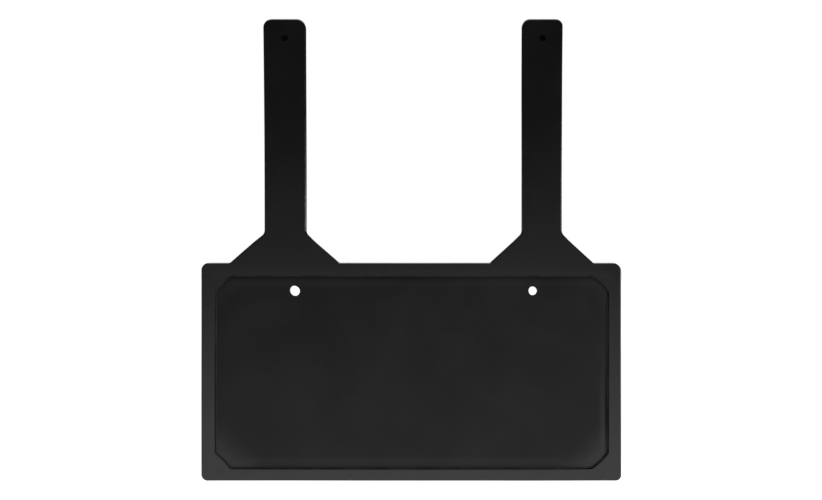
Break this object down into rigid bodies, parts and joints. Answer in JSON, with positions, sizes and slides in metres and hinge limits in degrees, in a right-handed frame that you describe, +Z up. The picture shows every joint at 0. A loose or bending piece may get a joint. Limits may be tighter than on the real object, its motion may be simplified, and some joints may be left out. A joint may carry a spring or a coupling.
{
  "type": "number plate holder",
  "caption": "Flat moulded rubber number plate holder with a lipped frame round its panel, bolt holes, and long straps that rise from gussets on its top edge.",
  "frame": {"origin": "midway between the two plate bolt holes, on the back face", "axes": "+X to the right seen from the front, +Z up along the straps, and the front with the lip faces -Y"},
  "size_m": [0.313, 0.0065, 0.3444],
  "materials": {
    "rubber": "black moulded rubber, satin on the frame and straps and matte on the panel"
  },
  "bodies": {
    "root": {"holder": "rubber"}
  },
  "joints": []
}
